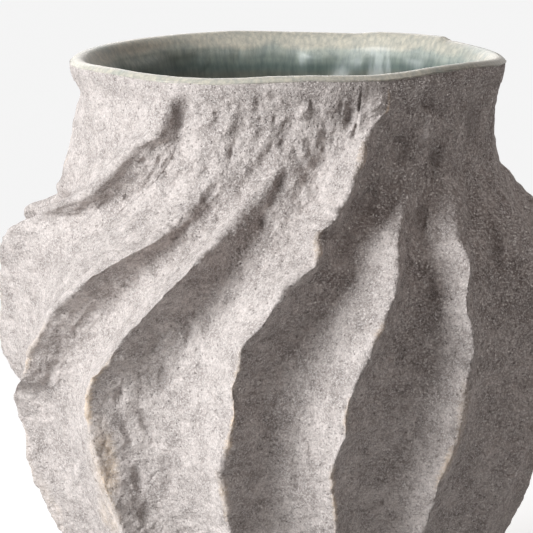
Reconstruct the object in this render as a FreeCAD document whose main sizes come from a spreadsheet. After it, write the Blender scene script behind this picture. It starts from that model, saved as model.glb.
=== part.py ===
import FreeCAD, Part
import Sketcher
import math
import os

from FreeCAD import Vector

# Urn vase of hand-built stoneware: a wall of three thrown rings on a floor slab, a lip coil on
# its mouth, swirling ridges of clay luted side by side round the wall, and a glaze lining that
# rolls over the lip. Millimetres, +Z up, the origin on the table under the middle of the base.
# The front of the vase is -Y, and angles run from there towards +X.

document = FreeCAD.newDocument("urn_vase")
sizes = document.addObject("Spreadsheet::Sheet", "Sizes")

# Driving dimensions
SIZES = (
    ("vase_height", 315),  # table to the top of the glazed lip
    ("mouth_radius", 107),  # outside of the lip coil
    ("neck_radius", 101),  # bottom of the hollows between ridges, at the neck
    ("neck_depth", 37),  # from the top of the vase down to the neck
    ("belly_radius", 127),  # bottom of the hollows, at the widest part of the belly
    ("belly_height", 182),
    ("base_radius", 68),  # bottom of the hollows, where the ridges end above the floor slab
    ("ridge_rise", 18.5),  # how far the boldest crest stands out of the hollows
    ("ridge_edge", 1.2),  # thickness of a ridge's clay at its thin edges
    ("crest_width", 2),  # the blunt top of a crest
    ("wall_thickness", 5),
    ("slip_gap", 0.3),  # the film of slip that lutes one piece of clay to the next
    ("lip_height", 7),
    ("lip_overhang", 1.5),  # how far the lip stands out past the hollows below it
    ("glaze_thickness", 1),
    ("floor_thickness", 10),
    ("floor_margin", 1.2),  # how far the floor slab stands out past the hollows above it
    ("foot_round", 3),  # round edge that the vase stands in
    ("floor_round", 0.8),  # eased upper edge of the floor slab
)

for row, (name, value) in enumerate(SIZES, start=1):
    sizes.set(f"A{row}", name)
    sizes.set(f"B{row}", str(value))
    sizes.setAlias(f"B{row}", name)
document.recompute()

vase_height = float(sizes.vase_height)
mouth_radius = float(sizes.mouth_radius)
neck_radius = float(sizes.neck_radius)
neck_depth = float(sizes.neck_depth)
belly_radius = float(sizes.belly_radius)
belly_height = float(sizes.belly_height)
base_radius = float(sizes.base_radius)
ridge_rise = float(sizes.ridge_rise)
ridge_edge = float(sizes.ridge_edge)
crest_width = float(sizes.crest_width)
wall_thickness = float(sizes.wall_thickness)
slip_gap = float(sizes.slip_gap)
lip_height = float(sizes.lip_height)
lip_overhang = float(sizes.lip_overhang)
glaze_thickness = float(sizes.glaze_thickness)
floor_thickness = float(sizes.floor_thickness)
floor_margin = float(sizes.floor_margin)

# Sizes worked out from them. The lip is as wide as all that it stands on, and half round.
neck_height = vase_height - neck_depth
lip_foot = vase_height - glaze_thickness - lip_height
lip_width = lip_overhang + ridge_edge + slip_gap + wall_thickness
lip_round = lip_width / 2
lip_middle = mouth_radius - lip_round
crown_height = vase_height - glaze_thickness - lip_round

# The hollows' profile, in three spans. Each row holds a share of the span's height, a share of
# its change of radius, and the crests' rise there as a share of ridge_rise.
LOWER_SHARES = (
    (0.00, 0.00, 0.05),
    (0.12, 0.20, 0.28),
    (0.27, 0.43, 0.48),
    (0.43, 0.65, 0.64),
    (0.60, 0.82, 0.77),
    (0.79, 0.95, 0.88),
    (1.00, 1.00, 0.96),
)
SHOULDER_SHARES = (
    (0.24, 0.04, 1.00),
    (0.44, 0.19, 0.99),
    (0.60, 0.50, 0.85),
    (0.76, 0.86, 0.56),
    (1.00, 1.00, 0.28),
)
NECK_SHARES = (
    (0.48, 0.25, 0.15),
    (1.00, 1.00, 0.06),
)

# The thrown rings of the wall, with the profile rows between which each one runs
WALL_RINGS = (
    ("wall_foot", 0, 4),
    ("wall_belly", 4, 8),
    ("wall_neck", 8, 13),
)

# Where each crest stands at seven heights, as a share of the pitch from one ridge to the next,
# counted round from the front. The crests lean over the shoulder and crowd on the right.
CREST_HEIGHT_SHARES = (0.03, 0.31, 0.48, 0.63, 0.76, 0.86, 0.98)
CREST_PLACE_SHARES = (
    (-3.75, -3.75, -3.65, -3.30, -2.70, -1.80, -1.30),
    (-2.75, -2.75, -2.60, -1.90, -1.10, -0.70, -0.55),
    (-1.45, -1.50, -1.55, -1.15, -0.60, -0.10, 0.10),
    (-0.50, -0.47, -0.43, -0.28, 0.20, 0.63, 0.95),
    (0.40, 0.36, 0.36, 0.58, 0.85, 1.25, 1.40),
    (1.00, 1.12, 1.27, 1.35, 1.45, 1.66, 1.80),
    (1.85, 1.95, 2.25, 2.35, 2.40, 2.75, 2.90),
    (3.00, 3.10, 3.40, 3.45, 3.55, 3.85, 3.95),
    (4.05, 4.20, 4.40, 4.50, 4.75, 5.10, 5.25),
    (5.10, 5.25, 5.40, 5.50, 5.90, 6.35, 6.55),
    (6.20, 6.30, 6.40, 6.60, 7.10, 7.65, 7.85),
    (7.25, 7.35, 7.40, 7.65, 8.25, 8.90, 9.15),
    (8.25, 8.25, 8.35, 8.70, 9.45, 10.10, 10.40),
)

# How bold each ridge is on the belly and on the neck, as shares of the profile's rise.
BOLDNESS_SHARES = (
    (1.07, 1.30),
    (1.03, 0.90),
    (0.97, 0.80),
    (1.05, 1.50),
    (1.00, 1.20),
    (0.90, 1.00),
    (0.95, 0.60),
    (1.00, 0.60),
    (0.94, 0.90),
    (1.00, 1.10),
    (1.03, 0.80),
    (0.95, 1.20),
    (1.00, 0.60),
)

# A flank's scooped section, as shares of its width and rise from the hollow to the crest.
SCOOP_WIDTH_SHARE = 1 / 3
STEEP_WIDTH_SHARE = 0.70
STEEP_RISE_SHARE = 0.24

RIDGES = len(CREST_PLACE_SHARES)
PITCH = math.tau / RIDGES

# The ends of a line or an arc, its centre, and the number of a sketch's own origin
START, END, CENTRE = 1, 2, 3
SKETCH_ORIGIN = -1


def span_rows(low, high, low_radius, high_radius, shares):
    """Height, hollow radius and rise of each row of one span of the profile."""
    return [
        (
            low + height_share * (high - low),
            low_radius + radius_share * (high_radius - low_radius),
            rise_share * ridge_rise,
        )
        for height_share, radius_share, rise_share in shares
    ]


def profile_rows():
    """The three spans in a row, from the floor slab up to the lip coil."""
    top_radius = mouth_radius - lip_overhang
    rows = span_rows(floor_thickness, belly_height, base_radius, belly_radius, LOWER_SHARES)
    rows += span_rows(belly_height, neck_height, belly_radius, neck_radius, SHOULDER_SHARES)
    rows += span_rows(neck_height, lip_foot, neck_radius, top_radius, NECK_SHARES)
    return rows


PROFILE = profile_rows()
TOP_ROW = len(PROFILE) - 1


def set_back(depth):
    """The profile's points moved by depth into the clay, square to the wall. The first and the
    last move level, so that the pieces end flat."""
    points = []
    for row, (height, radius, _) in enumerate(PROFILE):
        if row in (0, TOP_ROW):
            slope = 0
        else:
            below = PROFILE[row - 1]
            above = PROFILE[row + 1]
            slope = math.atan2(above[1] - below[1], above[0] - below[0])
        points.append((radius - depth * math.cos(slope), height + depth * math.sin(slope)))
    return points


def chord_shares(points):
    """How far along its chords each point of a curve lies, from 0 to 1."""
    lengths = [0]
    for start, end in zip(points, points[1:]):
        lengths.append(lengths[-1] + start.distanceToPoint(end))
    return [length / lengths[-1] for length in lengths]


def spline(points, parameters):
    """A cubic curve through the points."""
    curve = Part.BSplineCurve()
    curve.interpolate(Points=points, Parameters=parameters)
    return curve


def closed_face(edges):
    return Part.Face(Part.Wire(Part.__sortEdges__(edges)))


def section_curve(places, first=0, last=TOP_ROW):
    """The stretch between two rows of the cubic curve through (radius, height) pairs, on the
    section of a turned piece. It leaves half a film of slip at a joint within the curve."""
    points = [Vector(radius, 0, height) for radius, height in places]
    shares = chord_shares(points)
    curve = spline(points, shares)
    film = slip_gap / 2 / curve.length()
    start = shares[first] + film if first > 0 else 0
    end = shares[last] - film if last < TOP_ROW else 1
    return curve.toShape(start, end)


def section_line(start, end):
    return Part.makeLine(Vector(start[0], 0, start[1]), Vector(end[0], 0, end[1]))


def section_crown(radius):
    """Half a circle over the lip, from its inside to its outside."""
    return Part.Arc(
        Vector(lip_middle - radius, 0, crown_height),
        Vector(lip_middle, 0, crown_height + radius),
        Vector(lip_middle + radius, 0, crown_height),
    ).toShape()


def turned_piece(label, edges):
    """A piece turned round the vase's axis from its section."""
    section = document.addObject("Part::Feature", f"{label}_section")
    section.Shape = closed_face(edges)
    piece = document.addObject("Part::Revolution", label)
    piece.Label = label
    piece.Source = section
    piece.Axis = Vector(0, 0, 1)
    piece.Angle = 360
    return piece


def wall_ring(label, first, last):
    """A thrown ring of the wall, which carries the ridges."""
    outside = section_curve(set_back(ridge_edge + slip_gap), first, last)
    inside = section_curve(set_back(ridge_edge + slip_gap + wall_thickness), first, last)
    joints = [
        Part.makeLine(outside.Vertexes[end].Point, inside.Vertexes[end].Point)
        for end in (0, -1)
    ]
    return turned_piece(label, [outside, inside, *joints])


def inner_glaze():
    """The glaze on the floor, the wall and the lip, down to the widest line of the lip."""
    wall_side = set_back(ridge_edge + slip_gap + wall_thickness)
    free_side = set_back(ridge_edge + slip_gap + wall_thickness + glaze_thickness)
    glazed_floor = floor_thickness + glaze_thickness
    free_side[0] = (wall_side[0][0], glazed_floor)
    wall_crown = (lip_middle - lip_round, crown_height)
    free_crown = (wall_crown[0] - glaze_thickness, crown_height)
    return turned_piece(
        "inner_glaze",
        [
            section_line((0, floor_thickness), wall_side[0]),
            section_curve(wall_side),
            section_line(wall_side[-1], wall_crown),
            section_crown(lip_round),
            section_line(
                (mouth_radius, crown_height), (mouth_radius + glaze_thickness, crown_height)
            ),
            section_crown(lip_round + glaze_thickness),
            section_line(free_crown, free_side[-1]),
            section_curve(free_side),
            section_line(free_side[0], (0, glazed_floor)),
            section_line((0, glazed_floor), (0, floor_thickness)),
        ],
    )


def flat_sketch(body, name, role):
    """A sketch on one of its body's own origin planes."""
    sketch = body.newObject("Sketcher::SketchObject", name)
    plane = next(item for item in body.Origin.OriginFeatures if item.Role == role)
    sketch.AttachmentSupport = [(plane, "")]
    sketch.MapMode = "FlatFace"
    return sketch


def drive(sketch, kind, places, value, expression):
    """A dimension of a sketch, tied to the sheet."""
    index = sketch.addConstraint(Sketcher.Constraint(kind, *places, value))
    sketch.setExpression(f"Constraints[{index}]", expression)


def lip_coil():
    """The coil that closes the tops of the wall and the ridges, half round over its crown."""
    body = document.addObject("PartDesign::Body", "lip_coil")
    body.Label = "lip_coil"
    section = flat_sketch(body, "lip_section", "XZ_Plane")
    inner = lip_middle - lip_round
    inner_foot = Vector(inner, lip_foot, 0)
    inner_top = Vector(inner, crown_height, 0)
    outer_foot = Vector(mouth_radius, lip_foot, 0)
    outer_top = Vector(mouth_radius, crown_height, 0)
    crown = Part.Circle(Vector(lip_middle, crown_height, 0), Vector(0, 0, 1), lip_round)
    inside = section.addGeometry(Part.LineSegment(inner_foot, inner_top))
    over = section.addGeometry(Part.ArcOfCircle(crown, 0, math.pi))
    outside = section.addGeometry(Part.LineSegment(outer_top, outer_foot))
    foot = section.addGeometry(Part.LineSegment(outer_foot, inner_foot))
    section.addConstraint(Sketcher.Constraint("Tangent", inside, END, over, END))
    section.addConstraint(Sketcher.Constraint("Tangent", over, START, outside, START))
    section.addConstraint(Sketcher.Constraint("Coincident", outside, END, foot, START))
    section.addConstraint(Sketcher.Constraint("Coincident", foot, END, inside, START))
    section.addConstraint(Sketcher.Constraint("Vertical", inside))
    section.addConstraint(Sketcher.Constraint("Horizontal", foot))
    origin_to_inside = (SKETCH_ORIGIN, START, inside, START)
    width = "Sizes.lip_overhang + Sizes.ridge_edge + Sizes.slip_gap + Sizes.wall_thickness"
    top = "Sizes.vase_height - Sizes.glaze_thickness"
    drive(section, "DistanceX", origin_to_inside, inner, f"Sizes.mouth_radius - ({width})")
    drive(section, "DistanceY", origin_to_inside, lip_foot, f"{top} - Sizes.lip_height")
    drive(section, "DistanceX", (inside, START, outside, END), lip_width, width)
    origin_to_crown = (SKETCH_ORIGIN, START, over, CENTRE)
    drive(section, "DistanceY", origin_to_crown, crown_height, f"{top} - ({width}) / 2")
    turn = body.newObject("PartDesign::Revolution", "lip_turn")
    turn.Profile = section
    turn.ReferenceAxis = (section, ["V_Axis"])
    turn.Angle = 360
    return body


def round_edge(shape, height):
    """The name of the slab's round edge at a height."""
    for number, edge in enumerate(shape.Edges, start=1):
        level = edge.BoundBox.ZLength < edge.BoundBox.XLength
        if level and math.isclose(edge.BoundBox.ZMin, height, abs_tol=slip_gap):
            return f"Edge{number}"
    raise ValueError(f"no edge at height {height}")


def floor_slab():
    """The slab that the wall and the ridges stand on, round where it meets the table."""
    body = document.addObject("PartDesign::Body", "floor_slab")
    body.Label = "floor_slab"
    outline = flat_sketch(body, "floor_outline", "XY_Plane")
    radius = base_radius + floor_margin
    circle = outline.addGeometry(Part.Circle(Vector(0, 0, 0), Vector(0, 0, 1), radius))
    centred = Sketcher.Constraint("Coincident", circle, CENTRE, SKETCH_ORIGIN, START)
    outline.addConstraint(centred)
    drive(outline, "Radius", (circle,), radius, "Sizes.base_radius + Sizes.floor_margin")
    pad = body.newObject("PartDesign::Pad", "floor_pad")
    pad.Profile = outline
    pad.setExpression("Length", "Sizes.floor_thickness")
    document.recompute()
    for alias, height in (("foot_round", 0), ("floor_round", floor_thickness)):
        carrier = body.Tip
        fillet = body.newObject("PartDesign::Fillet", f"{alias}_fillet")
        fillet.Base = (carrier, [round_edge(carrier.Shape, height)])
        fillet.setExpression("Radius", f"Sizes.{alias}")
        document.recompute()
    return body


def around(angle, radius, height):
    """A point of the vase, by its angle from the front."""
    return Vector(radius * math.sin(angle), -radius * math.cos(angle), height)


def along(angle):
    """The level direction that runs round the vase at an angle."""
    return Vector(math.cos(angle), math.sin(angle), 0)


def level_arc(start, end, radius, height):
    """The poles of a cubic that follows a level circle from one angle to another."""
    reach = 4 / 3 * math.tan((end - start) / 4) * radius
    first = around(start, radius, height)
    last = around(end, radius, height)
    return [first, first + along(start) * reach, last - along(end) * reach, last]


def flank(hollow, crest, radius, crest_radius, height):
    """The poles of a flank's section, which leaves the hollow level and steepens to the crest."""
    width = crest - hollow
    foot = around(hollow, radius, height)
    scoop = foot + along(hollow) * (SCOOP_WIDTH_SHARE * width * radius)
    steep_radius = radius + STEEP_RISE_SHARE * (crest_radius - radius)
    steep = around(hollow + STEEP_WIDTH_SHARE * width, steep_radius, height)
    return [foot, scoop, steep, around(crest, crest_radius, height)]


def patch(sections, parameters):
    """A face that runs smoothly through the sections' poles, from the lowest to the highest."""
    columns = [spline(list(column), parameters) for column in zip(*sections)]
    order = len(columns)
    surface = Part.BSplineSurface()
    surface.buildFromPolesMultsKnots(
        [column.getPoles() for column in columns],
        [order, order],
        columns[0].getMultiplicities(),
        [0, 1],
        columns[0].getKnots(),
        False,
        False,
        order - 1,
        columns[0].Degree,
    )
    return surface.toShape()


def end_face(sections):
    """The flat face inside one row's sections."""
    edges = []
    for poles in sections:
        curve = Part.BezierCurve()
        curve.setPoles(poles)
        edges.append(curve.toShape())
    return closed_face(edges)


def crest_path(places):
    """The crest's angle at each row of the profile, smoothly between its places."""
    heights = [share * vase_height for share in CREST_HEIGHT_SHARES]
    points = [Vector(height, place * vase_height, 0) for height, place in zip(heights, places)]
    path = spline(points, heights)
    return [path.value(height).y / vase_height * PITCH for height, _, _ in PROFILE]


def boldness(index, height):
    """A ridge's share of the profile's rise, which changes from the belly to the neck."""
    belly_share, neck_share = BOLDNESS_SHARES[index]
    climb = (height - belly_height) / (neck_height - belly_height)
    return belly_share + (neck_share - belly_share) * min(max(climb, 0), 1)


def ridge(index, crests, base_line):
    """A luted ridge. Its flanks run from the hollow on one side to the hollow on the other, and
    it keeps a film of slip from the wall and from the ridges beside it."""
    full_turn = math.tau
    before = crests[index - 1]
    after = crests[(index + 1) % RIDGES]
    before_turn = full_turn if index == 0 else 0
    after_turn = full_turn if index == RIDGES - 1 else 0
    rows = []
    for row, (height, radius, rise) in enumerate(PROFILE):
        crest = crests[index][row]
        edge_gap = slip_gap / 2 / radius
        left = (before[row] - before_turn + crest) / 2 + edge_gap
        right = (after[row] + after_turn + crest) / 2 - edge_gap
        crest_radius = radius + rise * boldness(index, height)
        half_top = crest_width / 2 / crest_radius
        left_flank = flank(left, crest - half_top, radius, crest_radius, height)
        right_flank = flank(right, crest + half_top, radius, crest_radius, height)
        base = level_arc(left, right, *base_line[row])
        rows.append(
            (
                base,
                [base[0], left_flank[0]],
                left_flank,
                [left_flank[-1], right_flank[-1]],
                right_flank,
                [base[-1], right_flank[0]],
            )
        )
    crest_line = [sections[2][-1] for sections in rows]
    parameters = chord_shares(crest_line)
    faces = [patch(sections, parameters) for sections in zip(*rows)]
    faces += [end_face(rows[0]), end_face(rows[-1])]
    skin = Part.Compound(faces)
    skin.sewShape()
    solid = Part.Solid(skin.Shells[0])
    if solid.Volume < 0:
        solid.reverse()
    label = f"ridge_{index + 1:02d}"
    piece = document.addObject("Part::Feature", label)
    piece.Label = label
    piece.Shape = solid
    piece.Placement = FreeCAD.Placement()
    return piece


def ridges():
    """All the ridges, side by side round the wall."""
    crests = [crest_path(places) for places in CREST_PLACE_SHARES]
    base_line = set_back(ridge_edge)
    return [ridge(index, crests, base_line) for index in range(RIDGES)]


wall_rings = [wall_ring(*ring) for ring in WALL_RINGS]
parts = [floor_slab(), *wall_rings, lip_coil(), inner_glaze(), *ridges()]
document.recompute()

for item in document.Objects:
    if {"Invalid", "Error"} & set(item.State):
        raise RuntimeError(f"{item.Label} did not rebuild: {item.State}")
for part in parts:
    if part.Shape.isNull() or not part.Shape.isValid():
        raise RuntimeError(f"{part.Label} is not a valid shape")

os.makedirs("parts", exist_ok=True)
for part in parts:
    part.Shape.exportStep(os.path.join("parts", f"{part.Label}.step"))
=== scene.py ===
import itertools
import math

import bpy
import numpy as np
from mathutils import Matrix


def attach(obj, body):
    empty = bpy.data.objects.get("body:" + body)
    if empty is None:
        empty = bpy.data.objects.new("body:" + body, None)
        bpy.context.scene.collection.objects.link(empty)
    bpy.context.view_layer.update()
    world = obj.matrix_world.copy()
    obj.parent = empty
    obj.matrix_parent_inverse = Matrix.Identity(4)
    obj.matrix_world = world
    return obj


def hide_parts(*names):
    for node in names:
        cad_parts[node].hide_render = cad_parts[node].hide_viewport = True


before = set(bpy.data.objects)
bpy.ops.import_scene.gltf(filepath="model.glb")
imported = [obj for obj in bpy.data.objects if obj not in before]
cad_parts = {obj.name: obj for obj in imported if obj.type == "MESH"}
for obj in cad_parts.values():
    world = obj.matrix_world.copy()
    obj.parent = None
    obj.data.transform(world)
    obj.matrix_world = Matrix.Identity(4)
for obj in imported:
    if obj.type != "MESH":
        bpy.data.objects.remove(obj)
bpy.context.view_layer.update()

# The shapes' lengths are in millimetres, and those of the materials and lights in metres.
# Angles run round the vase from its front, -Y, towards +X.
MM = 0.001
RIDGES = 13
PITCH = math.tau / RIDGES
VASE_HEIGHT = 315

# Height, radius of the hollows and rise of the crests, from the foot to the lip
PROFILE = (
    (10, 68.0, 0.9),
    (30.6, 79.8, 5.2),
    (56.4, 93.4, 8.9),
    (84, 106.4, 11.8),
    (113.2, 116.4, 14.2),
    (145.9, 124.1, 16.3),
    (182, 127.0, 17.8),
    (205, 126.0, 18.5),
    (224.2, 122.1, 18.3),
    (239.6, 114.0, 15.7),
    (255, 104.6, 10.4),
    (278, 101.2, 5.2),
    (292, 102.6, 2.8),
    (303, 105.4, 1.3),
    (308, 107.4, 0.6),
    (313.2, 107.9, 0.2),
)

# Where the crests stand at seven heights, in pitches from the front
CREST_HEIGHTS = (9.5, 97.7, 151.2, 198.5, 239.4, 270.9, 308.7)
CREST_PLACES = (
    (-3.75, -3.75, -3.65, -3.30, -2.70, -1.80, -1.30),
    (-2.75, -2.75, -2.60, -1.90, -1.10, -0.70, -0.55),
    (-1.45, -1.50, -1.55, -1.15, -0.60, -0.10, 0.10),
    (-0.50, -0.47, -0.43, -0.28, 0.20, 0.63, 0.95),
    (0.40, 0.36, 0.36, 0.58, 0.85, 1.25, 1.40),
    (1.00, 1.12, 1.27, 1.35, 1.45, 1.66, 1.80),
    (1.85, 1.95, 2.25, 2.35, 2.40, 2.75, 2.90),
    (3.00, 3.10, 3.40, 3.45, 3.55, 3.85, 3.95),
    (4.05, 4.20, 4.40, 4.50, 4.75, 5.10, 5.25),
    (5.10, 5.25, 5.40, 5.50, 5.90, 6.35, 6.55),
    (6.20, 6.30, 6.40, 6.60, 7.10, 7.65, 7.85),
    (7.25, 7.35, 7.40, 7.65, 8.25, 8.90, 9.15),
    (8.25, 8.25, 8.35, 8.70, 9.45, 10.10, 10.40),
)

# How bold each ridge is on the belly and on the neck
BOLDNESS = (
    (1.10, 2.75),
    (1.08, 1.00),
    (1.24, 0.90),
    (1.16, 2.90),
    (1.03, 1.25),
    (1.14, 1.10),
    (0.95, 0.60),
    (1.00, 0.60),
    (0.94, 0.90),
    (1.00, 1.10),
    (1.03, 0.80),
    (0.95, 1.20),
    (1.00, 0.60),
)

# Where each ridge's crest softens and dies out on the neck: the heights at which that starts
# and ends, and how blunt the crest gets, from 0 to 1
FADES = (
    (298, 311, 0.15),
    (250, 292, 0.60),
    (256, 297, 0.55),
    (303, 310, 0.05),
    (236, 306, 0.60),
    (246, 292, 0.70),
    (240, 290, 0.60),
    (240, 300, 0.50),
    (262, 304, 0.40),
    (255, 300, 0.50),
    (240, 296, 0.60),
    (262, 306, 0.35),
    (246, 296, 0.60),
)

# How far the rim stands above its usual height, by the angle round the mouth in degrees
RIM_LIFTS = (
    (-180, 1.7),
    (-172, 2.2),
    (-165, 2.6),
    (-150, 2.2),
    (-137, 1.7),
    (-120, 1.2),
    (-105, 0.7),
    (-90, 0.3),
    (-75, 0.8),
    (-60, 1.8),
    (-51, 2.0),
    (-43, 1.5),
    (-30, 1.0),
    (-20, 1.2),
    (-12, 1.9),
    (-5, 2.9),
    (5, 3.3),
    (14, 2.9),
    (22, 2.6),
    (31, 3.3),
    (38, 4.2),
    (45, 4.6),
    (55, 4.4),
    (65, 3.4),
    (78, 1.8),
    (90, 0.6),
    (105, 0.6),
    (117, 0.9),
    (126.5, 1.6),
    (129.5, 3.2),
    (140, 3.1),
    (152, 2.9),
    (160, 1.4),
    (168, 1.5),
    (180, 1.7),
)

# How far the outline swells past the profile on the left and on the right, by height
LEFT_SWELL = (
    (60, 1.0),
    (81, 3.5),
    (96, 4.2),
    (110, 4.4),
    (123, 1.2),
    (134, -0.8),
    (147, 3.0),
    (157, 6.0),
    (168, 4.6),
    (178, 2.0),
    (190, 0.0),
    (215, 0.0),
    (222, 2.0),
    (229, 4.8),
    (235.5, 2.2),
    (241.5, -7.2),
    (247.5, -0.4),
    (252.5, 2.2),
    (260, 6.5),
    (268, 7.5),
    (275, 7.0),
    (283, 5.5),
    (290, 3.0),
    (298, -0.8),
    (305, 0.0),
    (316, 0.0),
)
RIGHT_SWELL = (
    (60, 0.0),
    (235, 0.0),
    (246, 2.0),
    (253, 4.2),
    (260, 3.8),
    (268, 2.8),
    (283, 1.0),
    (295, 0.0),
    (316, 0.0),
)

# Where the two swells stand round the vase and how far they reach, in degrees
LEFT_SIDE = -90
RIGHT_SIDE = 92
SWELL_SPREAD = 17

# The camera that the photograph was taken from, and a pixel's size on its sensor
CAMERA_PLACE = np.array([-10.68, -1500.0, 485.9])
CAMERA_PITCH = math.radians(10.469)
CAMERA_LENS = 203.94
SENSOR_WIDTH = 36
PICTURE_WIDTH = 533
FOCAL_PIXELS = CAMERA_LENS / SENSOR_WIDTH * PICTURE_WIDTH

# Places of the first six crests, read from the photograph in pixels
CREST_SIGHTINGS = (
    (
        (173, 88),
        (168, 102),
        (161, 122),
        (153, 136),
        (135, 145),
        (123, 156),
        (109, 172),
        (89, 192),
        (68, 201),
        (51, 207),
    ),
    (
        (215, 175),
        (204, 193),
        (190, 205),
        (172, 223),
        (150, 243),
        (119, 260),
        (89, 277),
        (66, 297),
        (49, 313),
        (39, 334),
        (27, 352),
        (24, 371),
        (22, 388),
        (21, 410),
    ),
    (
        (283, 168),
        (271, 182),
        (259, 192),
        (246, 207),
        (232, 226),
        (215, 243),
        (192, 266),
        (170, 288),
        (145, 314),
        (126, 334),
        (107, 361),
        (92, 378),
        (86, 398),
        (85, 415),
        (89, 438),
        (95, 463),
        (105, 489),
        (116, 512),
        (122, 533),
    ),
    (
        (388, 97),
        (390, 108),
        (389, 116),
        (380, 124),
        (375, 128),
        (365, 145),
        (362, 162),
        (355, 179),
        (348, 199),
        (339, 211),
        (334, 223),
        (321, 233),
        (317, 240),
        (318, 252),
        (315, 267),
        (303, 276),
        (288, 288),
        (276, 306),
        (266, 322),
        (251, 337),
        (241, 351),
        (237, 371),
        (232, 388),
        (231, 419),
        (227, 444),
        (221, 461),
        (218, 475),
        (222, 485),
        (224, 500),
        (229, 532),
    ),
    (
        (422, 102),
        (428, 142),
        (417, 171),
        (407, 209),
        (401, 239),
        (399, 266),
        (400, 280),
        (395, 295),
        (385, 320),
        (380, 334),
        (374, 343),
        (368, 361),
        (358, 382),
        (349, 402),
        (348, 419),
        (344, 440),
        (334, 464),
        (331, 479),
        (334, 503),
        (337, 533),
    ),
    (
        (447, 150),
        (451, 172),
        (455, 188),
        (462, 209),
        (465, 241),
        (473, 266),
        (467, 297),
        (474, 334),
        (474, 355),
        (469, 377),
        (467, 399),
        (460, 433),
        (450, 462),
        (440, 487),
        (436, 504),
        (424, 533),
    ),
)

# How many times its listed height a dent gets, and how much painted shade darkens it for each mm of
# depth
DENT_DEPTH = 1.1
DENT_PAINTED_SHADE = 0.13

# Dents and lumps of the neck and the flutes, read from the photograph: pixel, half length and
# half width in pixels, lean from upright in degrees, crispness of the edge, height in mm
DENTS = (
    (380, 108, 22, 13, 24, 0.15, 1.6),
    (350, 118, 24, 8, 8, 0.1, -1.4),
    (83, 142, 30, 7, 22, 0.1, -1.8),
    (106, 84, 7, 6, 0, 0.2, -0.8),
    (128, 86, 5, 4, 0, 0.5, -1.0),
    (142, 106, 9, 6, 10, 0.2, -0.8),
    (120, 128, 22, 11, 30, 0.1, 1.2),
    (182, 112, 28, 14, 14, 0.1, -2.2),
    (212, 118, 14, 9, 30, 0.2, 1.1),
    (238, 128, 19, 11, 20, 0.05, -1.3),
    (233, 152, 14, 9, 5, 0.1, -1.2),
    (251, 108, 10, 8, 0, 0.2, 1.1),
    (262, 150, 20, 9, 24, 0.1, 1.5),
    (210, 193, 16, 6, 38, 0.3, -1.8),
    (168, 163, 9, 5, 32, 0.2, -1.2),
    (141, 160, 9, 6, 50, 0.2, -1.1),
    (150, 196, 22, 9, 46, 0.1, 1.2),
    (196, 158, 18, 9, 35, 0.1, 1.3),
    (178, 178, 14, 6, 38, 0.2, -1.2),
    (182, 232, 18, 7, 50, 0.2, -1.0),
    (273, 102, 9, 7, 0, 0.2, -1.2),
    (288, 133, 16, 11, 25, 0.05, -1.9),
    (283, 148, 8, 7, 10, 0.3, -1.2),
    (321, 148, 14, 9, 30, 0.05, -0.7),
    (305, 118, 13, 9, 25, 0.2, 1.1),
    (318, 165, 10, 8, 25, 0.05, -0.5),
    (283, 182, 17, 11, 22, 0.05, -1.9),
    (299, 189, 12, 8, 30, 0.05, -0.5),
    (272, 201, 13, 7, 20, 0.2, -1.5),
    (303, 152, 10, 7, 20, 0.2, 1.2),
    (262, 222, 15, 7, 35, 0.2, -1.1),
    (335, 178, 30, 12, 22, 0.0, 1.3),
    (399, 150, 22, 11, 12, 0.1, -2.6),
    (427, 108, 12, 9, 0, 0.2, -2.6),
    (434, 163, 22, 9, 5, 0.1, -2.6),
    (425, 130, 26, 5, 12, 0.1, 2.0),
    (473, 126, 30, 12, 0, 0.1, -2.8),
    (448, 104, 20, 6, 20, 0.1, 1.8),
    (366, 204, 24, 10, 26, 0.1, -2.2),
    (345, 242, 18, 9, 30, 0.1, -1.8),
    (421, 218, 26, 9, 2, 0.1, -2.2),
    (488, 186, 30, 8, -14, 0.1, 1.8),
    (496, 250, 30, 10, -6, 0.1, -2.0),
    (430, 290, 26, 9, 6, 0.1, -1.6),
    (163, 378, 16, 7, 6, 0.2, -1.6),
    (146, 424, 20, 8, -20, 0.2, -1.8),
    (138, 478, 18, 8, -10, 0.2, -1.5),
    (146, 515, 14, 9, 0, 0.2, -1.5),
    (190, 335, 12, 6, 20, 0.3, -1.4),
    (43, 452, 16, 8, -15, 0.1, -1.5),
    (120, 395, 12, 6, 0, 0.2, -1.2),
    (60, 262, 22, 12, 60, 0.1, -1.2),
    (30, 262, 18, 10, 50, 0.1, 1.4),
    (88, 318, 26, 9, 42, 0.1, -1.0),
    (52, 372, 26, 9, 16, 0.1, -1.2),
    (62, 430, 30, 9, -6, 0.1, 1.0),
    (48, 478, 18, 8, -20, 0.1, -1.0),
    (155, 345, 22, 9, 40, 0.1, -1.1),
    (130, 400, 26, 10, 10, 0.1, 1.0),
    (168, 470, 30, 10, -6, 0.1, -1.1),
    (196, 330, 24, 9, 40, 0.1, 1.0),
    (232, 300, 20, 8, 42, 0.1, -0.9),
    (300, 330, 26, 9, 28, 0.1, -1.1),
    (272, 390, 30, 9, 8, 0.1, 0.9),
    (298, 470, 26, 9, -4, 0.1, -1.1),
    (330, 290, 22, 8, 20, 0.1, 1.0),
    (400, 360, 26, 8, 14, 0.1, -1.0),
    (420, 430, 26, 9, 14, 0.1, -1.0),
    (385, 480, 26, 9, 8, 0.1, 1.0),
    (498, 330, 30, 8, 2, 0.1, 1.0),
    (500, 420, 26, 8, 14, 0.1, -1.0),
)
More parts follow.
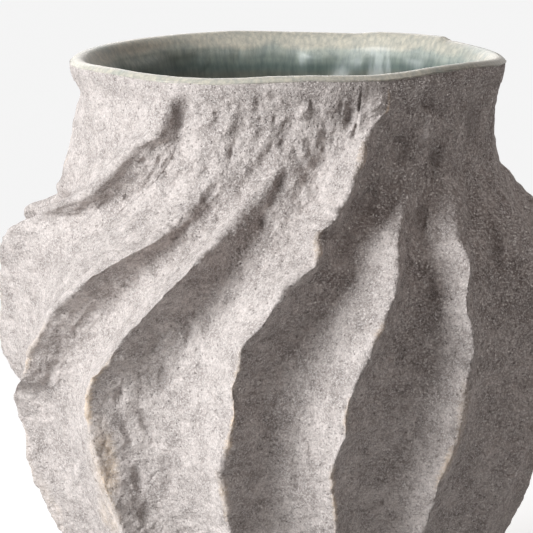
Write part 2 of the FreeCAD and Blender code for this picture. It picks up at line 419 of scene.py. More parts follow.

# Fissures and seams, read from the photograph: pixels along the line, half width in pixels,
# depth in mm and how much painted shade darkens the line
FISSURES = (
    (((361, 93), (360, 103), (359, 114)), 2.1, 1.3, 0.8),
    (((359, 114), (357, 130)), 2.1, 0.5, 0.1),
    (((357, 130), (354, 141)), 2.2, 1.3, 0.7),
    (((437, 84), (452, 77), (471, 71), (488, 66)), 2.4, -1.4, 0.0),
    (((425, 98), (429, 90), (437, 84)), 2.4, -1.4, 0.0),
    (((100, 424), (106, 440), (101, 456), (109, 474), (106, 488), (114, 502)), 1.8, 0.7, 0.25),
    (((478, 272), (482, 310), (483, 345), (479, 378)), 1.8, -0.7, 0.0),
    (((506, 168), (512, 184), (520, 200), (533, 224)), 2.4, -2.0, 0.0),
    (((96, 64), (112, 70), (134, 76)), 1.8, 0.8, 0.15),
)

# Places where bare clay shows, read from the photograph: pixel, half length and half width in
# pixels, lean in degrees, strength, and whether it keeps to the very crest
BARE_PLACES = (
    (390, 108, 20, 8, 8, 0.9, True),
    (361, 160, 26, 8, 20, 0.4, True),
    (318, 248, 22, 8, 10, 0.5, True),
    (234, 372, 40, 8, 6, 0.8, True),
    (230, 430, 42, 8, 4, 0.9, True),
    (222, 498, 34, 8, -6, 0.7, True),
    (345, 415, 26, 8, 6, 0.9, True),
    (334, 500, 46, 8, -2, 0.8, True),
    (380, 335, 20, 8, 26, 0.5, True),
    (100, 368, 30, 8, 34, 0.8, True),
    (87, 410, 36, 8, 2, 0.8, True),
    (104, 490, 50, 8, -24, 0.8, True),
    (104, 458, 52, 16, -10, 0.60, False),
    (110, 515, 30, 10, -20, 0.30, False),
    (446, 464, 36, 6, 24, 0.80, False),
    (462, 410, 40, 8, 6, 0.25, False),
    (54, 505, 46, 9, -24, 0.35, False),
    (32, 350, 40, 8, 24, 0.5, True),
    (30, 455, 50, 8, -14, 0.4, True),
    (458, 450, 60, 8, 12, 0.6, True),
)

# The ridges' skins: where they end below and above, and how far their backs lie under the skin
SKIN_FOOT = 9.6
SKIN_TOP = 313.2
BACK_DEPTH = 1.2
BACK_POINTS = 5

# How fine the skins' grids are, and where a hollow lies on the way from one crest to the next
ROWS = 560
FLANK_CELLS = 44
HOLLOW_SHARE = 0.46


# Helpers for smooth curves and repeatable unevenness


def smooth_curve(places, values, at):
    """Natural cubic curve through values at rising places, read at other places."""
    places = np.asarray(places, float)
    values = np.asarray(values, float)
    step = np.diff(places)
    slope = np.diff(values) / step
    count = len(places)
    matrix = np.eye(count)
    right = np.zeros(count)
    for i in range(1, count - 1):
        matrix[i, i - 1] = step[i - 1]
        matrix[i, i] = 2 * (step[i - 1] + step[i])
        matrix[i, i + 1] = step[i]
        right[i] = 6 * (slope[i] - slope[i - 1])
    bend = np.linalg.solve(matrix, right)
    at = np.asarray(at, float)
    i = np.clip(np.searchsorted(places, at) - 1, 0, count - 2)
    width = step[i]
    a = (places[i + 1] - at) / width
    b = (at - places[i]) / width
    curve = ((a**3 - a) * bend[i] + (b**3 - b) * bend[i + 1]) * width**2 / 6
    return a * values[i] + b * values[i + 1] + curve


def ease(low, high, value):
    """0 below low, 1 above high, smooth between."""
    share = np.clip((value - low) / (high - low), 0, 1)
    return share * share * (3 - 2 * share)


def lattice(cells, seed):
    """A repeatable number from 0 to 1 for each cell of a lattice."""
    number = cells[..., 0] * 73856093 ^ cells[..., 1] * 19349663 ^ cells[..., 2] * 83492791
    number = (number ^ seed * 26544357) & 0xFFFFFFFF
    number = (number ^ number >> 15) * 739982445 & 0xFFFFFFFF
    number = (number ^ number >> 12) * 695872825 & 0xFFFFFFFF
    return ((number ^ number >> 15) & 0xFFFFFF) / 0xFFFFFF


def uneven(points, size, seed):
    """Smooth unevenness from -1 to 1, with lumps about as large as size."""
    scaled = points / size
    cells = np.floor(scaled).astype(np.int64)
    share = scaled - cells
    share = share * share * (3 - 2 * share)
    total = 0
    for corner in itertools.product((0, 1), repeat=3):
        weight = np.prod(np.where(corner, share, 1 - share), axis=-1)
        total = total + weight * lattice(cells + corner, seed)
    return 2 * total - 1


def wander(along, size, seed):
    """Unevenness along one line."""
    points = np.stack([along, np.full_like(along, 0.37), np.full_like(along, 0.61)], -1)
    return uneven(points / size, 1, seed)


def around(angle, radius, height):
    """Points of the vase, by their angle from the front."""
    places = np.broadcast_arrays(radius * np.sin(angle), -radius * np.cos(angle), height)
    return np.stack(places, -1)


def in_picture(points):
    """Where points fall in the photograph, and how large a pixel is there."""
    away = points - CAMERA_PLACE
    depth = away[..., 1] * math.cos(CAMERA_PITCH) - away[..., 2] * math.sin(CAMERA_PITCH)
    climb = away[..., 1] * math.sin(CAMERA_PITCH) + away[..., 2] * math.cos(CAMERA_PITCH)
    pixel = depth / FOCAL_PIXELS
    middle = PICTURE_WIDTH / 2
    return middle + away[..., 0] / pixel, middle - climb / pixel, pixel


def spot(place, x, y, half_length, half_width, lean, crispness):
    """1 in the middle of an oval in the picture, 0 outside it."""
    turn = math.radians(lean)
    right = place[0] - x
    down = place[1] - y
    along = right * math.sin(turn) - down * math.cos(turn)
    across = right * math.cos(turn) + down * math.sin(turn)
    away = np.hypot(along / half_length, across / half_width)
    return 1 - ease(crispness, 1, away)


def line_nearness(place, line, half_width):
    """1 on a line in the picture, 0 beyond its half width."""
    nearest = np.full(place[0].shape, 1e6)
    for (x0, y0), (x1, y1) in zip(line, line[1:]):
        run = (x1 - x0, y1 - y0)
        share = ((place[0] - x0) * run[0] + (place[1] - y0) * run[1]) / (run[0] ** 2 + run[1] ** 2)
        share = np.clip(share, 0, 1)
        right = place[0] - x0 - share * run[0]
        down = place[1] - y0 - share * run[1]
        nearest = np.minimum(nearest, np.hypot(right, down))
    return 1 - ease(0, 1, nearest / half_width)


def rim_lift(angle):
    """How far the rim stands above its usual height at an angle."""
    degrees = (np.degrees(angle) + 180) % 360 - 180
    places, lifts = zip(*RIM_LIFTS)
    return np.interp(degrees, places, lifts)


def rows_along(low, high, count):
    """Heights spaced evenly along the profile."""
    fine = np.linspace(low, high, 4000)
    radius = smooth_curve(*zip(*[(z, r) for z, r, _ in PROFILE]), fine)
    length = np.concatenate([[0], np.cumsum(np.hypot(np.diff(fine), np.diff(radius)))])
    return np.interp(np.linspace(0, length[-1], count), length, fine)


# Mesh tools


def grid_piece(name, columns, rows, points, cap_ends):
    """A grid shaped over points, closed where its edges meet, with its faces outwards."""
    bpy.ops.object.select_all(action="DESELECT")
    bpy.ops.mesh.primitive_grid_add(x_subdivisions=columns - 1, y_subdivisions=rows - 1, size=1)
    piece = bpy.context.object
    piece.name = name
    piece.data.name = name
    piece.data.vertices.foreach_set("co", (points.reshape(-1) * MM).astype(np.float32))
    piece.data.update()
    bpy.ops.object.mode_set(mode="EDIT")
    bpy.ops.mesh.select_all(action="SELECT")
    bpy.ops.mesh.remove_doubles(threshold=0.000002)
    if cap_ends:
        bpy.ops.mesh.fill_holes(sides=0)
    bpy.ops.mesh.select_all(action="SELECT")
    bpy.ops.mesh.normals_make_consistent(inside=False)
    bpy.ops.object.mode_set(mode="OBJECT")
    bpy.ops.object.shade_smooth_by_angle(angle=math.radians(70))
    piece.location = (0, 0, 0)
    return piece


def add_value(piece, name, values):
    """A value on each vertex, for the material to read."""
    attribute = piece.data.attributes.new(name, "FLOAT", "POINT")
    attribute.data.foreach_set("value", values.astype(np.float32))


# Shader tools

BLACK = (0, 0, 0)
WHITE = (1, 1, 1)


def new_material(name):
    """A material with an empty node tree."""
    material = bpy.data.materials.new(name)
    material.use_nodes = True
    tree = material.node_tree
    tree.nodes.clear()
    return material, tree


def node(tree, kind, **settings):
    made = tree.nodes.new(kind)
    for name, value in settings.items():
        setattr(made, name, value)
    return made


def feed(tree, source, target):
    tree.links.new(source, target)


def set_inputs(made, **values):
    """Sets a node's inputs, with _ for each space in their names."""
    for name, value in values.items():
        made.inputs[name.replace("_", " ")].default_value = value


def ramp(tree, source, stops, interpolation="EASE"):
    """A colour ramp with stops as (place, colour)."""
    made = node(tree, "ShaderNodeValToRGB")
    made.color_ramp.interpolation = interpolation
    elements = made.color_ramp.elements
    while len(elements) < len(stops):
        elements.new(0.5)
    for element, (place, colour) in zip(elements, stops):
        element.position = place
        element.color = (*colour, 1)
    feed(tree, source, made.inputs["Fac"])
    return made.outputs["Color"]


def mixed(tree, share, first, second, blend="MIX"):
    """One colour over another, each a plain colour or a socket."""
    made = node(tree, "ShaderNodeMix", data_type="RGBA", blend_type=blend)
    for place, value in ((0, share), (6, first), (7, second)):
        socket = made.inputs[place]
        if isinstance(value, bpy.types.NodeSocket):
            feed(tree, value, socket)
        elif isinstance(value, tuple):
            socket.default_value = (*value, 1)
        else:
            socket.default_value = value
    return made.outputs[2]


def math_node(tree, operation, *values):
    made = node(tree, "ShaderNodeMath", operation=operation)
    for socket, value in zip(made.inputs, values):
        if isinstance(value, bpy.types.NodeSocket):
            feed(tree, value, socket)
        else:
            socket.default_value = value
    return made.outputs[0]


def noise_node(tree, vector, scale, detail=2.0, roughness=0.5, distortion=0.0):
    made = node(tree, "ShaderNodeTexNoise")
    feed(tree, vector, made.inputs["Vector"])
    set_inputs(made, Scale=scale, Detail=detail, Roughness=roughness, Distortion=distortion)
    return made.outputs["Fac"]


def cells_node(tree, vector, scale, feature="F1"):
    made = node(tree, "ShaderNodeTexVoronoi", feature=feature)
    feed(tree, vector, made.inputs["Vector"])
    set_inputs(made, Scale=scale, Randomness=1.0)
    return made.outputs["Distance"]


def bump_normal(tree, height, strength, distance):
    made = node(tree, "ShaderNodeBump")
    set_inputs(made, Strength=strength, Distance=distance)
    feed(tree, height, made.inputs["Height"])
    return made.outputs["Normal"]


def stretched(tree, vector, upright):
    """Places scaled along Z, which draws a pattern out up and down."""
    made = node(tree, "ShaderNodeMapping")
    made.inputs["Scale"].default_value = (1, 1, upright)
    feed(tree, vector, made.inputs["Vector"])
    return made.outputs["Vector"]


def vertex_value(tree, name):
    """A value that add_value put on the piece."""
    return node(tree, "ShaderNodeAttribute", attribute_name=name).outputs["Fac"]


def mixed_shader(tree, share, first, second):
    made = node(tree, "ShaderNodeMixShader")
    for socket, source in zip(made.inputs, (share, first, second)):
        feed(tree, source, socket)
    return made.outputs["Shader"]


def put_out(tree, shader, kind="ShaderNodeOutputMaterial"):
    feed(tree, shader, node(tree, kind).inputs["Surface"])


def clay_grain_group():
    """Coarse grog grain: a height for the relief, pale flecks, sunk pits that take painted shade,
    and broad clouds.
    """
    tree = bpy.data.node_groups.new("clay_grain", "ShaderNodeTree")
    tree.interface.new_socket("Vector", in_out="INPUT", socket_type="NodeSocketVector")
    for name in ("Height", "Sand", "Flecks", "Pits", "Clouds"):
        tree.interface.new_socket(name, in_out="OUTPUT", socket_type="NodeSocketFloat")
    start = node(tree, "NodeGroupInput")
    end = node(tree, "NodeGroupOutput")
    place = start.outputs["Vector"]
    fine = noise_node(tree, place, 1500, 2.0, 0.7)
    coarse = noise_node(tree, place, 700, 3.0, 0.7)
    lumps = noise_node(tree, place, 210, 2.0, 0.5)
    height = math_node(tree, "MULTIPLY_ADD", coarse, 0.55, math_node(tree, "MULTIPLY", fine, 0.3))
    height = math_node(tree, "MULTIPLY_ADD", lumps, 0.3, height)
    feed(tree, height, end.inputs["Height"])
    sand = noise_node(tree, place, 1150, 1.0, 0.6)
    feed(tree, ramp(tree, sand, ((0.51, BLACK), (0.61, WHITE))), end.inputs["Sand"])
    flecks = ramp(tree, cells_node(tree, place, 900), ((0.20, WHITE), (0.46, BLACK)))
    flecks = math_node(tree, "MULTIPLY", flecks, ramp(tree, fine, ((0.46, BLACK), (0.58, WHITE))))
    feed(tree, flecks, end.inputs["Flecks"])
    pits = ramp(tree, cells_node(tree, place, 760), ((0.14, WHITE), (0.38, BLACK)))
    pits = math_node(tree, "MULTIPLY", pits, ramp(tree, coarse, ((0.36, WHITE), (0.50, BLACK))))
    feed(tree, pits, end.inputs["Pits"])
    feed(tree, noise_node(tree, place, 75, 4.0, 0.6), end.inputs["Clouds"])
    return tree


def object_place(tree):
    return node(tree, "ShaderNodeTexCoord").outputs["Object"]


def stoneware_material(grain):
    """Rough sandy taupe clay with glints of mica, cream where it is bare along a crest, with
    painted shade in its relief, pits, dents and fissures.
    """
    material, tree = new_material("rough_stoneware")
    place = object_place(tree)
    effect = node(tree, "ShaderNodeGroup", node_tree=grain)
    feed(tree, place, effect.inputs["Vector"])
    cloud = ramp(
        tree,
        effect.outputs["Clouds"],
        ((0.39, (0.356, 0.313, 0.294)), (0.61, (0.503, 0.449, 0.425))),
        "LINEAR",
    )
    # The grain's tone follows the relief's height, darker in its low spots: painted shade in the
    # relief.
    grain_and_relief_shade = ramp(
        tree,
        effect.outputs["Height"],
        ((0.44, (0.74, 0.74, 0.74)), (0.68, (1.21, 1.21, 1.21))),
        "LINEAR",
    )
    colour = mixed(tree, 1.0, cloud, grain_and_relief_shade, "MULTIPLY")
    colour = mixed(tree, vertex_value(tree, "bare_clay"), colour, (0.74, 0.58, 0.43))
    # The pits' dark tint is painted shade in them; the sand and flecks are the clay's own pale
    # specks.
    for speck, amount, tint in (
        ("Sand", 0.45, (0.86, 0.80, 0.775)),
        ("Pits", 0.45, (0.16, 0.13, 0.115)),
        ("Flecks", 0.7, (0.86, 0.83, 0.81)),
    ):
        share = math_node(tree, "MULTIPLY", effect.outputs[speck], amount)
        colour = mixed(tree, share, colour, tint)
    # Painted shade darkens the sunk dents and the fissures.
    painted_hollow_shade = math_node(tree, "MULTIPLY", vertex_value(tree, "painted_hollow_shade"), 0.8)
    colour = mixed(tree, painted_hollow_shade, colour, (0.10, 0.08, 0.07))
    surface = node(tree, "ShaderNodeBsdfPrincipled")
    set_inputs(surface, Roughness=0.92, Specular_IOR_Level=0.15)
    feed(tree, colour, surface.inputs["Base Color"])
    mica = math_node(tree, "MULTIPLY", effect.outputs["Sand"], 0.45)
    mica = math_node(tree, "MULTIPLY_ADD", effect.outputs["Flecks"], 0.95, mica)
    feed(tree, mica, surface.inputs["Metallic"])
    sunk = math_node(tree, "MULTIPLY", effect.outputs["Pits"], 0.35)
    rough = math_node(tree, "SUBTRACT", effect.outputs["Height"], sunk)
    feed(tree, bump_normal(tree, rough, 1.0, 0.0013), surface.inputs["Normal"])
    put_out(tree, surface.outputs["BSDF"])
    return material


def celadon_material():
    """Glossy grey-green crackle glaze, cream where it thins over the edge, darker below the rim
    where it pools and with painted shade, paler again far down.
    """
    material, tree = new_material("celadon_crackle_glaze")
    place = object_place(tree)
    streaks = noise_node(tree, stretched(tree, place, 0.12), 420, 3.0, 0.6)
    pools = noise_node(tree, place, 26, 3.0, 0.55, 0.4)
    depth = math_node(tree, "SUBTRACT", vertex_value(tree, "glaze_pool_and_shade"), 0.25)
    deep = math_node(tree, "MULTIPLY_ADD", pools, 0.5, depth)
    deep = math_node(tree, "MULTIPLY", deep, 0.625)
    # Down from the rim the glaze darkens, partly as its own colour where it pools and partly as
    # painted shade inside the vase.
    colour = ramp(
        tree,
        deep,
        (
            (0.012, (0.50, 0.472, 0.41)),
            (0.081, (0.33, 0.355, 0.325)),
            (0.19, (0.175, 0.205, 0.185)),
            (0.325, (0.09, 0.118, 0.108)),
            (0.475, (0.105, 0.113, 0.094)),
            (0.64, (0.13, 0.14, 0.115)),
            (0.95, (0.62, 0.64, 0.56)),
        ),
    )
    tints = ((0.35, (0.72, 0.75, 0.76)), (0.65, (1.2, 1.18, 1.12)))
    streaked = ramp(tree, streaks, tints, "LINEAR")
    colour = mixed(tree, 0.8, colour, streaked, "MULTIPLY")
    crackle = cells_node(tree, stretched(tree, place, 0.55), 300, "DISTANCE_TO_EDGE")
    lines = ramp(tree, crackle, ((0.0, WHITE), (0.07, BLACK)))
    colour = mixed(tree, math_node(tree, "MULTIPLY", lines, 0.14), colour, (0.10, 0.11, 0.09))
    surface = node(tree, "ShaderNodeBsdfPrincipled")
    set_inputs(surface, Roughness=0.44, Specular_IOR_Level=0.35)
    set_inputs(surface, Coat_Weight=0.08, Coat_Roughness=0.22)
    feed(tree, colour, surface.inputs["Base Color"])
    feed(tree, bump_normal(tree, streaks, 0.25, 0.0006), surface.inputs["Normal"])
    put_out(tree, surface.outputs["BSDF"])
    return material


# The ridged outside of the vase, as one field of points that the ridges share


def sighted_crest(index, steady, reach, heights):
    """Moves a crest's angles to where the photograph shows it, on the side that it shows."""
    if index >= len(CREST_SIGHTINGS):
        return steady
    across, down = np.array(CREST_SIGHTINGS[index], float).T
    angle = steady
    # The shift fades out past the sighted ends and where the crest turns from the camera
    for _ in range(5):
        x, y, pixel = in_picture(around(angle, reach, heights))
        facing = np.cos(angle)
        share = ease(down[0] - 14, down[0] + 2, y) * (1 - ease(down[-1] - 2, down[-1] + 16, y))
        share = share * ease(0.30, 0.55, facing)
        shift = (np.interp(y, down, across) - x) * pixel / (reach * np.maximum(facing, 0.3))
        angle = angle + np.clip(shift, -0.05, 0.05) * share
    return angle


def ridge_field():
    """Points of the whole outside: rows of heights by all the ridges' columns."""
    heights = rows_along(SKIN_FOOT, SKIN_TOP, ROWS)
    places, radii, rises = zip(*PROFILE)
    radius = smooth_curve(places, radii, heights)
    rise = np.maximum(smooth_curve(places, rises, heights), 0)
    crests = np.array([smooth_curve(CREST_HEIGHTS, row, heights) * PITCH for row in CREST_PLACES])
    climb = ease(232, 290, heights)
    columns = []
    near_crest = []
    for index in range(RIDGES):
        before = crests[index - 1] - (math.tau if index == 0 else 0)
        after = crests[(index + 1) % RIDGES] + (math.tau if index == RIDGES - 1 else 0)
        left = before + (crests[index] - before) * HOLLOW_SHARE
        right = crests[index] + (after - crests[index]) * HOLLOW_SHARE
        belly, neck = BOLDNESS[index]
        tall = rise * (belly + (neck - belly) * climb)
        waver = 0.06 * wander(heights, 17, 101 + index) + 0.04 * wander(heights, 6, 131 + index)
        tall = tall * (1 + waver)
        fade_start, fade_end, softness = FADES[index]
        fade = ease(fade_start, fade_end, heights)
        tall = tall * (1 - 0.8 * fade)
        blunt = 0.05 + softness * ease(fade_start - 25, fade_end - 15, heights)
        crest = sighted_crest(index, crests[index], radius + tall, heights)
        sway = 0.55 * wander(heights, 11, 41 + index) + 0.5 * wander(heights, 5, 71 + index)
        sway += 0.35 * wander(heights, 2.6, 171 + index)
        if index >= len(CREST_SIGHTINGS):
            sway += 1.6 * wander(heights, 26, 11 + index) + 0.5 * wander(heights, 9, 21 + index)
        crest = crest + sway * (rise / 18) / radius
        for side, hollow in ((-1, left), (1, right)):
            shares = np.linspace(0, 1, FLANK_CELLS + 1)
            if side > 0:
                shares = shares[::-1][1:-1]
            # A flank goes round and climbs from its hollow to the crest, which is a little blunt
            for share in shares:
                turn = (1 - share) ** 2 * share + 2.1 * (1 - share) * share**2 + share**3
                up = 3 * (1 - share) * share**2 * (0.30 if side < 0 else 0.26) + share**3
                angle = hollow + (crest - hollow) * turn
                fall = 2.5 * (1 - turn)
                top = up - np.sqrt(fall**2 + blunt**2) + fall
                columns.append(around(angle, radius + tall * top, heights))
                near_crest.append(np.full_like(heights, share))
    field = np.stack(columns, 1)
    share = np.stack(near_crest, 1)
    return heights, radius, field, share


def outward(field):
    """The unit normal of the field at each point."""
    across = np.roll(field, -1, 1) - np.roll(field, 1, 1)
    up = np.gradient(field, axis=0)
    normal = np.cross(across, up)
    return normal / np.linalg.norm(normal, axis=-1, keepdims=True)


def clay_lumps(field, angle, level, neck_share):
    """Unevenness of hand-worked clay in mm, the larger lumps drawn out as the ridges lean."""
    swirl = smooth_curve(CREST_HEIGHTS, CREST_PLACES[3], level) * PITCH
    unwound = around(angle - swirl, 125, level * 0.5)
    lumps = 1.0 * uneven(unwound, 17, 1) + (0.75 + 0.5 * neck_share) * uneven(unwound, 8, 2)
    lumps += (0.50 + 0.35 * neck_share) * uneven(field, 4.2, 3)
    lumps += 0.30 * uneven(field, 2.1, 4) + 0.20 * uneven(field, 1.2, 5)
    pocks = np.clip(uneven(field, 3.4, 6) - 0.45, 0, 1) * 1.8
    lumps += 0.5 * uneven(unwound, 30, 7) - pocks
    return lumps


def add_marks(lumps, picture, shown):
    """Puts the photograph's dents and fissures into the lumps, and paints shade into the sunk ones.
    """
    painted_hollow_shade = np.zeros_like(lumps)
    for *oval, height in DENTS:
        dent = shown * DENT_DEPTH * height * spot(picture, *oval)
        lumps += dent
        painted_hollow_shade = np.maximum(painted_hollow_shade, DENT_PAINTED_SHADE * -dent)
    for line, half_width, depth, line_painted_shade in FISSURES:
        nearness = shown * line_nearness(picture, line, half_width)
        lumps -= depth * nearness
        painted_hollow_shade = np.maximum(painted_hollow_shade, line_painted_shade * nearness)
    return painted_hollow_shade


def swell_outline(field, angle, level, neck_share):
    """Moves the field out where the outline swells, and in a little at the neck."""
    bulge = 0
    for swell, side in ((LEFT_SWELL, LEFT_SIDE), (RIGHT_SWELL, RIGHT_SIDE)):
        nearness = np.exp(-(((np.degrees(angle) - side) / SWELL_SPREAD) ** 2))
        bulge = bulge + smooth_curve(*zip(*swell), level) * nearness
    radius = np.hypot(field[..., 0], field[..., 1])
    field[..., :2] *= (1 + (bulge - 0.6 * neck_share) / radius)[..., None]


def bare_clay(field, level, crest_share, picture, shown):
    """How bare the clay is, from 0 to 1: along crests, and where the photograph shows it."""
    patchy = ease(-0.5, 0.4, uneven(field, 6, 8))
    bare = 0.5 * ease(0.95, 1.0, crest_share) * ease(0.3, 0.9, uneven(field, 14, 9) + 0.1)
    bare = bare * (1 - shown) * ease(60, 110, level) * (1 - ease(250, 290, level))
    for *oval, strength, on_crest in BARE_PLACES:
        keeps = ease(0.93, 0.99, crest_share) if on_crest else 1
        nearness = spot(picture, *oval, 0.3)
        bare = np.maximum(bare, shown * strength * keeps * nearness * (0.4 + 0.6 * patchy))
    return bare


def clay_outside():
    """The worked field, how bare its clay is, and the painted shade in its dents and fissures."""
    heights, hollow_radius, field, crest_share = ridge_field()
    normal = outward(field)
    angle = np.arctan2(field[..., 0], -field[..., 1])
    level = heights[:, None]
    spare = np.hypot(field[..., 0], field[..., 1]) - hollow_radius[:, None]
    neck_share = ease(225, 255, level) * (1 - ease(292, 304, level))
    picture = in_picture(field)[:2]
    shown = ease(0.15, 0.4, np.cos(angle))
    lumps = clay_lumps(field, angle, level, neck_share)
    painted_hollow_shade = add_marks(lumps, picture, shown)
    lumps = lumps * (1 - 0.75 * ease(300, 309, level))
    edge_on = 1 - ease(0.2, 0.6, np.abs(np.cos(angle)))
    lumps = lumps * (1 - 0.5 * neck_share * edge_on) + 0.35 + 0.8 * neck_share
    lumps = np.maximum(lumps, -0.85 - 0.6 * spare)
    field = field + normal * lumps[..., None]
    swell_outline(field, angle, level, neck_share)
    field[..., 2] += rim_lift(angle) * ease(270, 309, level)
    field[..., 2] = np.maximum(field[..., 2], SKIN_FOOT)
    return field, bare_clay(field, level, crest_share, picture, shown), painted_hollow_shade


def ridge_skin(index, field, bare, painted_hollow_shade):
    """The part of the field round one crest, closed by a plain back under it."""
    columns = 2 * FLANK_CELLS
    picked = (np.arange(columns + 1) + index * columns) % field.shape[1]
    front = field[:, picked]
    first = front[:, 0]
    last = front[:, -1]
    first_angle = np.arctan2(first[:, 0], -first[:, 1])
    last_angle = np.arctan2(last[:, 0], -last[:, 1])
    last_angle = first_angle + (last_angle - first_angle) % math.tau
    first_radius = np.hypot(first[:, 0], first[:, 1])
    last_radius = np.hypot(last[:, 0], last[:, 1])
    back_radius = np.minimum(first_radius, last_radius) - BACK_DEPTH
    turn = first_angle - last_angle
    climb = first[:, 2] - last[:, 2]
    back = [
        around(last_angle + turn * share, back_radius, last[:, 2] + climb * share)
        for share in np.linspace(0, 1, BACK_POINTS)
    ]
    loop = np.concatenate([front, np.stack(back, 1), front[:, :1]], 1)
    name = f"ridge_{index + 1:02d}_skin"
    skin = grid_piece(name, loop.shape[1], ROWS, loop, True)
    behind = np.zeros((ROWS, BACK_POINTS))
    for value_name, values in (("bare_clay", bare), ("painted_hollow_shade", painted_hollow_shade)):
        values = np.concatenate([values[:, picked], behind], 1)
        if len(skin.data.vertices) != values.size:
            raise RuntimeError(f"{name} has {len(skin.data.vertices)} points, not {values.size}")
        add_value(skin, value_name, values.reshape(-1))
    skin.data.materials.append(stoneware)
    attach(skin, "root")
    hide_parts(f"ridge_{index + 1:02d}")


stoneware = stoneware_material(clay_grain_group())
celadon = celadon_material()

outside = clay_outside()
for index in range(RIDGES):
    ridge_skin(index, *outside)


# The glaze lining and the lip

# Height and radius of the wall's inside, from the floor to the lip
INNER_PROFILE = (
    (11.6, 60.6),
    (30, 73.5),
    (56, 86.6),
    (84, 99.2),
    (113, 108.8),
    (146, 116.6),
    (182, 119.2),
    (205, 118.2),
    (224, 115.0),
    (240, 107.6),
    (255, 98.2),
    (278, 93.2),
    (296, 95.0),
    (308, 98.2),
)

# The lip's section, from its inside to its outside, and back under the glaze's ragged edge
LIP_SECTION = (
    (98.9, 309.6),
    (99.7, 311.2),
    (100.7, 312.7),
    (101.9, 313.9),
    (103.2, 314.7),
    (104.6, 315.0),
    (105.9, 314.9),
    (107.0, 314.5),
    (107.9, 313.8),
    (108.5, 313.0),
)
LIP_UNDERSIDE = (
    (106.7, 312.9),
    (104.6, 313.9),
    (102.6, 313.2),
    (100.6, 311.4),
    (99.6, 308.5),
)

# The ragged edge itself: radius, height and how much of the edge's wave each row follows
GLAZE_EDGE = (
    (108.7, 313.0, 0.3),
    (108.7, 312.6, 0.7),
    (107.4, 312.0, 0.7),
)

# The coat over the floor, above and below, and how far the lining's back is behind its profile
LINING_FLOOR = 12.2
LINING_UNDERSIDE = 10.3
LINING_BACK = 0.75
GLAZE_COLUMNS = 721


def glaze_lining():
    """The coat over the floor, the wall and the lip, rolled a little way down the outside."""
    angle = np.linspace(-math.pi, math.pi, GLAZE_COLUMNS)
    lift = rim_lift(angle)
    rows = []

    def add(radius, height):
        rows.append(around(angle, radius, height))

    for radius in (0, 15, 30, 42, 50, 56):
        add(radius, LINING_FLOOR)
    places, radii = zip(*INNER_PROFILE)
    levels = np.concatenate([np.linspace(12.8, 280, 44), np.linspace(280.8, 308, 34)])
    for level in levels:
        radius = smooth_curve(places, radii, level)
        share = ease(276, 309, level)
        points = around(angle, radius, level)
        soft = 0.4 - np.clip(uneven(points, 16, 21) + 0.2, 0, 1) * 2.6 - 0.6 * uneven(points, 7, 22)
        inset = 0.6 + 1.6 * (1 - ease(60, 130, level))
        amount = ease(15, 40, level) * (1 - 0.8 * ease(302, 308, level))
        add(radius - inset + np.minimum(soft * amount, 0.7), level + lift * share)
    lip = around(angle, 108, 310)
    wave = 0.5 * uneven(lip, 12, 23) + 0.3 * uneven(lip, 4, 24)
    for radius, level in LIP_SECTION:
        add(radius, level + lift)
    for radius, level, share in GLAZE_EDGE:
        add(radius, level + lift + wave * share)
    for radius, level in LIP_UNDERSIDE:
        add(radius, level + lift * 0.95)
    for level in np.linspace(304, 12.4, 18):
        add(smooth_curve(places, radii, level) + LINING_BACK, level)
    for radius in (56, 30, 0):
        add(radius, LINING_UNDERSIDE)
    lining = grid_piece("glaze_lining", GLAZE_COLUMNS, len(rows), np.stack(rows), False)
    place = np.empty(len(lining.data.vertices) * 3, np.float32)
    lining.data.vertices.foreach_get("co", place)
    place = place.reshape(-1, 3) / MM
    angle = np.arctan2(place[:, 0], -place[:, 1])
    # The drop below the rim, which darkens the glaze: where it pools, and as painted shade.
    drop = VASE_HEIGHT + rim_lift(angle) - place[:, 2]
    add_value(lining, "glaze_pool_and_shade", ease(3, 30, drop) + 0.6 * ease(34, 100, drop))
    lining.data.materials.append(celadon)
    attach(lining, "root")
    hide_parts("inner_glaze", "lip_coil")


glaze_lining()


# The foot

FOOT_RADIUS = 69.2
FOOT_ROUNDING = 3
FOOT_COLUMNS = 481


def foot():
    """The floor slab's outside, flat where it stands."""
    angle = np.linspace(-math.pi, math.pi, FOOT_COLUMNS)
    flat = FOOT_RADIUS - FOOT_ROUNDING
    section = [(0, 0), (30, 0), (52, 0), (62, 0), (flat, 0)]
    for turn in np.linspace(0, math.pi / 2, 7)[1:]:
        out = FOOT_ROUNDING * math.sin(turn)
        section.append((flat + out, FOOT_ROUNDING - FOOT_ROUNDING * math.cos(turn)))
    section += [(FOOT_RADIUS, height) for height in range(4, 10)]
    section += [(68.9, 9.7), (68.2, 10.0), (60, 10), (30, 10), (0, 10)]
    rows = []
    for radius, height in section:
        points = around(angle, max(radius, 1), height)
        amount = ease(62, 68, radius) * ease(0, 2, height)
        rough = 0.6 * uneven(points, 14, 31) + 0.35 * uneven(points, 5, 32)
        rough = rough + 0.2 * uneven(points, 2, 33)
        rows.append(around(angle, radius + rough * amount, height))
    slab = grid_piece("foot", FOOT_COLUMNS, len(rows), np.stack(rows), False)
    slab.data.materials.append(stoneware)
    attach(slab, "root")
    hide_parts("floor_slab")


foot()

for name in ("wall_foot", "wall_belly", "wall_neck"):
    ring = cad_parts[name]
    ring.data.materials.clear()
    ring.data.materials.append(stoneware)


# Floor, lights and camera

# The height of the vase's shoulder, which the lights face
LAMP_AIM = 0.2


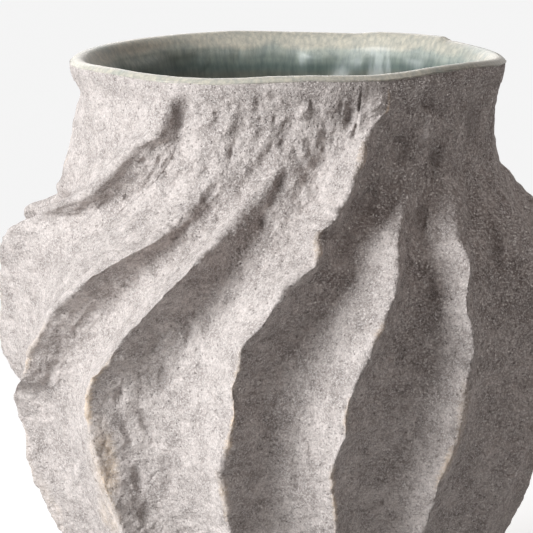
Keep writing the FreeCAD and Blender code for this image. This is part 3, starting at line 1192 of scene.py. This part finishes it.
def stage_floor():
    """A pale floor that glows a little for the camera and fades out far from the vase."""
    bpy.ops.object.select_all(action="DESELECT")
    bpy.ops.mesh.primitive_plane_add(size=8)
    floor = bpy.context.object
    floor.name = "floor"
    material, tree = new_material("pale_floor")
    surface = node(tree, "ShaderNodeBsdfDiffuse")
    surface.inputs["Color"].default_value = (0.62, 0.62, 0.617, 1)
    glow = node(tree, "ShaderNodeEmission")
    set_inputs(glow, Color=(1.0, 1.0, 1.0, 1), Strength=0.58)
    dark = node(tree, "ShaderNodeEmission")
    set_inputs(dark, Strength=0.0)
    camera_ray = node(tree, "ShaderNodeLightPath").outputs["Is Camera Ray"]
    seen = mixed_shader(tree, camera_ray, dark.outputs["Emission"], glow.outputs["Emission"])
    lit = node(tree, "ShaderNodeAddShader")
    feed(tree, surface.outputs["BSDF"], lit.inputs[0])
    feed(tree, seen, lit.inputs[1])
    clear = node(tree, "ShaderNodeBsdfTransparent")
    away = node(tree, "ShaderNodeVectorMath", operation="LENGTH")
    feed(tree, object_place(tree), away.inputs[0])
    share = math_node(tree, "DIVIDE", away.outputs["Value"], 2.0)
    fade = ramp(tree, share, ((0.2, BLACK), (0.7, WHITE)))
    put_out(tree, mixed_shader(tree, fade, lit.outputs["Shader"], clear.outputs["BSDF"]))
    floor.data.materials.append(material)


def soft_lamp(name, azimuth, elevation, distance, size, power, colour):
    """A square soft light that faces the vase's shoulder."""
    data = bpy.data.lights.new(name, "AREA")
    data.shape = "SQUARE"
    data.size = size
    data.energy = power
    data.color = colour
    lamp = bpy.data.objects.new(name, data)
    bpy.context.scene.collection.objects.link(lamp)
    turn = math.radians(azimuth)
    tilt = math.radians(elevation)
    flat = math.cos(tilt)
    outwards = np.array([math.sin(turn) * flat, -math.cos(turn) * flat, math.sin(tilt)])
    lamp.location = outwards * distance + np.array([0, 0, LAMP_AIM])
    lamp.rotation_euler = (math.pi / 2 - tilt, 0, turn)


def world_light():
    """Weak warm light all round, seen by the camera and in reflections as a pale backdrop."""
    world = bpy.data.worlds.new("studio")
    world.use_nodes = True
    tree = world.node_tree
    tree.nodes.clear()
    path = node(tree, "ShaderNodeLightPath")
    seen = math_node(tree, "MAXIMUM", path.outputs["Is Camera Ray"], path.outputs["Is Glossy Ray"])
    seen = math_node(tree, "MAXIMUM", seen, path.outputs["Is Transmission Ray"])
    fill = node(tree, "ShaderNodeBackground")
    set_inputs(fill, Color=(1.0, 0.86, 0.80, 1), Strength=0.11)
    pale = node(tree, "ShaderNodeBackground")
    set_inputs(pale, Color=(0.91, 0.91, 0.91, 1), Strength=1.0)
    backdrop = mixed_shader(tree, seen, fill.outputs["Background"], pale.outputs["Background"])
    put_out(tree, backdrop, "ShaderNodeOutputWorld")
    bpy.context.scene.world = world


def photo_camera():
    """The camera, where the photograph was taken from."""
    data = bpy.data.cameras.new("camera")
    data.lens = CAMERA_LENS
    data.sensor_width = SENSOR_WIDTH
    data.clip_start = 0.05
    data.clip_end = 50
    camera = bpy.data.objects.new("camera", data)
    bpy.context.scene.collection.objects.link(camera)
    camera.location = CAMERA_PLACE * MM
    camera.rotation_euler = (math.pi / 2 - CAMERA_PITCH, 0, 0)
    bpy.context.scene.camera = camera


stage_floor()
soft_lamp("key_light", -57, 20, 1.6, 0.7, 39.5, (0.935, 0.97, 0.99))
soft_lamp("top_fill", 75, 62, 2.0, 0.4, 4, (1.0, 0.93, 0.89))
soft_lamp("back_fill", -170, 28, 2.0, 1.2, 12, (1.0, 0.97, 0.95))
world_light()
photo_camera()

bpy.context.scene.view_settings.view_transform = "Standard"
